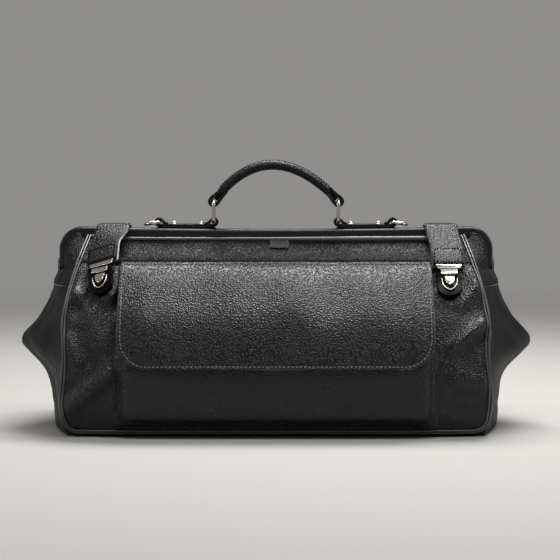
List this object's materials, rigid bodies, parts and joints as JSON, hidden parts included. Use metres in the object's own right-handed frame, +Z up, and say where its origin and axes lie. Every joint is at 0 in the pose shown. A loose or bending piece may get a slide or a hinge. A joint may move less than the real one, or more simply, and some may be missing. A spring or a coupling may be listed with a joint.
{
  "type": "doctor bag",
  "caption": "Leather frame-mouth doctor bag with hinged jaws, strap locks, flap pocket and a rolled carrying handle on rings.",
  "frame": {"origin": "middle of the base on the floor", "axes": "+X along the bag to the right, -Y out of the front, +Z up"},
  "size_m": [0.5832, 0.2686, 0.3064],
  "materials": {
    "black_leather": "pebble grain, semi-gloss",
    "trim_leather": "smooth, semi-gloss, stitched",
    "nickel": "polished nickel plate",
    "frame_steel": "plain steel",
    "lining_cloth": "woven cotton",
    "fibre_board": "pressed fibre board",
    "grip_core": "twisted cord"
  },
  "bodies": {
    "bag": {"base_panel": "black_leather", "base_board": "fibre_board", "front_panel": "black_leather", "back_panel": "black_leather", "left_gusset": "black_leather", "right_gusset": "black_leather", "front_yoke": "black_leather", "front_left_shoulder": "black_leather", "front_right_shoulder": "black_leather", "front_yoke_piping": "trim_leather", "rear_yoke": "black_leather", "rear_left_shoulder": "black_leather", "rear_right_shoulder": "black_leather", "rear_yoke_piping": "trim_leather", "front_piping": "trim_leather", "rear_piping": "trim_leather", "front_lining": "lining_cloth", "rear_lining": "lining_cloth", "left_lining": "lining_cloth", "right_lining": "lining_cloth", "pocket_panel": "black_leather", "pocket_magnet": "frame_steel", "left_lock_case": "nickel", "right_lock_case": "nickel", "left_lock_spring": "frame_steel", "right_lock_spring": "frame_steel", "left_lock_cover": "frame_steel", "right_lock_cover": "frame_steel"},
    "front_jaw": {"front_jaw_bar": "frame_steel", "front_jaw_cover": "black_leather", "label_patch": "trim_leather"},
    "rear_jaw": {"rear_jaw_bar": "frame_steel", "rear_jaw_cover": "black_leather", "left_hinge_pin": "frame_steel", "right_hinge_pin": "frame_steel", "left_handle_tab": "trim_leather", "right_handle_tab": "trim_leather", "tab_rivets": "nickel", "left_strap_anchor": "trim_leather", "right_strap_anchor": "trim_leather"},
    "left_strap": {"left_strap": "trim_leather", "left_strap_patch": "trim_leather", "left_lock_tongue": "nickel"},
    "right_strap": {"right_strap": "trim_leather", "right_strap_patch": "trim_leather", "right_lock_tongue": "nickel"},
    "pocket_flap": {"pocket_flap": "black_leather", "flap_magnet": "frame_steel"},
    "left_handle_ring": {"left_handle_ring": "nickel"},
    "right_handle_ring": {"right_handle_ring": "nickel"},
    "handle": {"left_handle_loop": "trim_leather", "right_handle_loop": "trim_leather", "handle_grip": "trim_leather", "handle_core": "grip_core"},
    "left_d_ring": {"left_d_ring": "nickel"},
    "right_d_ring": {"right_d_ring": "nickel"},
    "left_lock_button": {"left_lock_button": "nickel"},
    "right_lock_button": {"right_lock_button": "nickel"}
  },
  "joints": [
    {"name": "rear_jaw_open", "type": "hinge", "parent": "bag", "child": "rear_jaw", "pos_m": [0, 0, 0.172], "axis": [-1, 0, 0], "range_deg": [0, 40], "deforming": ["rear_yoke", "rear_left_shoulder", "rear_right_shoulder", "rear_yoke_piping"]},
    {"name": "front_jaw_open", "type": "hinge", "parent": "bag", "child": "front_jaw", "pos_m": [0, 0, 0.172], "axis": [1, 0, 0], "range_deg": [0, 40], "deforming": ["front_yoke", "front_left_shoulder", "front_right_shoulder", "front_yoke_piping"]},
    {"name": "left_strap_lift", "type": "hinge", "parent": "rear_jaw", "child": "left_strap", "pos_m": [-0.195, 0.0125, 0.2323], "axis": [-1, 0, 0], "range_deg": [0, 120]},
    {"name": "right_strap_lift", "type": "hinge", "parent": "rear_jaw", "child": "right_strap", "pos_m": [0.195, 0.0125, 0.2323], "axis": [-1, 0, 0], "range_deg": [0, 120]},
    {"name": "pocket_flap_lift", "type": "hinge", "parent": "bag", "child": "pocket_flap", "pos_m": [0, -0.05691, 0.19286], "axis": [-1, 0, 0], "range_deg": [0, 110]},
    {"name": "left_handle_ring_swing", "type": "hinge", "parent": "rear_jaw", "child": "left_handle_ring", "pos_m": [-0.0725, 0.0065, 0.2349], "axis": [0, 1, 0], "range_deg": [-35, 35]},
    {"name": "handle_swing", "type": "hinge", "parent": "left_handle_ring", "child": "handle", "pos_m": [-0.0725, 0.0065, 0.2589], "axis": [0, 1, 0], "range_deg": [-35, 35]},
    {"name": "right_handle_ring_swing", "type": "hinge", "parent": "rear_jaw", "child": "right_handle_ring", "pos_m": [0.0725, 0.0065, 0.2349], "axis": [0, 1, 0], "range_deg": [-35, 35]},
    {"name": "left_d_ring_swing", "type": "hinge", "parent": "rear_jaw", "child": "left_d_ring", "pos_m": [-0.136, 0.0065, 0.2349], "axis": [0, 1, 0], "range_deg": [0, 115]},
    {"name": "right_d_ring_swing", "type": "hinge", "parent": "rear_jaw", "child": "right_d_ring", "pos_m": [0.136, 0.0065, 0.2349], "axis": [0, -1, 0], "range_deg": [0, 115]},
    {"name": "left_lock_press", "type": "slide", "parent": "bag", "child": "left_lock_button", "axis": [0.342, 0.7243, -0.5986], "range_m": [0, 0.0015], "stiffness_N_per_m": 600, "springref_m": -0.001, "deforming": ["left_lock_spring"]},
    {"name": "right_lock_press", "type": "slide", "parent": "bag", "child": "right_lock_button", "axis": [0, 0.7708, -0.6371], "range_m": [0, 0.0015], "stiffness_N_per_m": 600, "springref_m": -0.001, "deforming": ["right_lock_spring"]}
  ],
  "couplings": [
    {"joint": "front_jaw_open", "follows": "rear_jaw_open", "ratio": 1},
    {"joint": "left_strap_lift", "follows": "rear_jaw_open", "ratio": 3},
    {"joint": "right_strap_lift", "follows": "rear_jaw_open", "ratio": 3},
    {"joint": "handle_swing", "follows": "left_handle_ring_swing", "ratio": -1},
    {"joint": "right_handle_ring_swing", "follows": "left_handle_ring_swing", "ratio": 1}
  ]
}
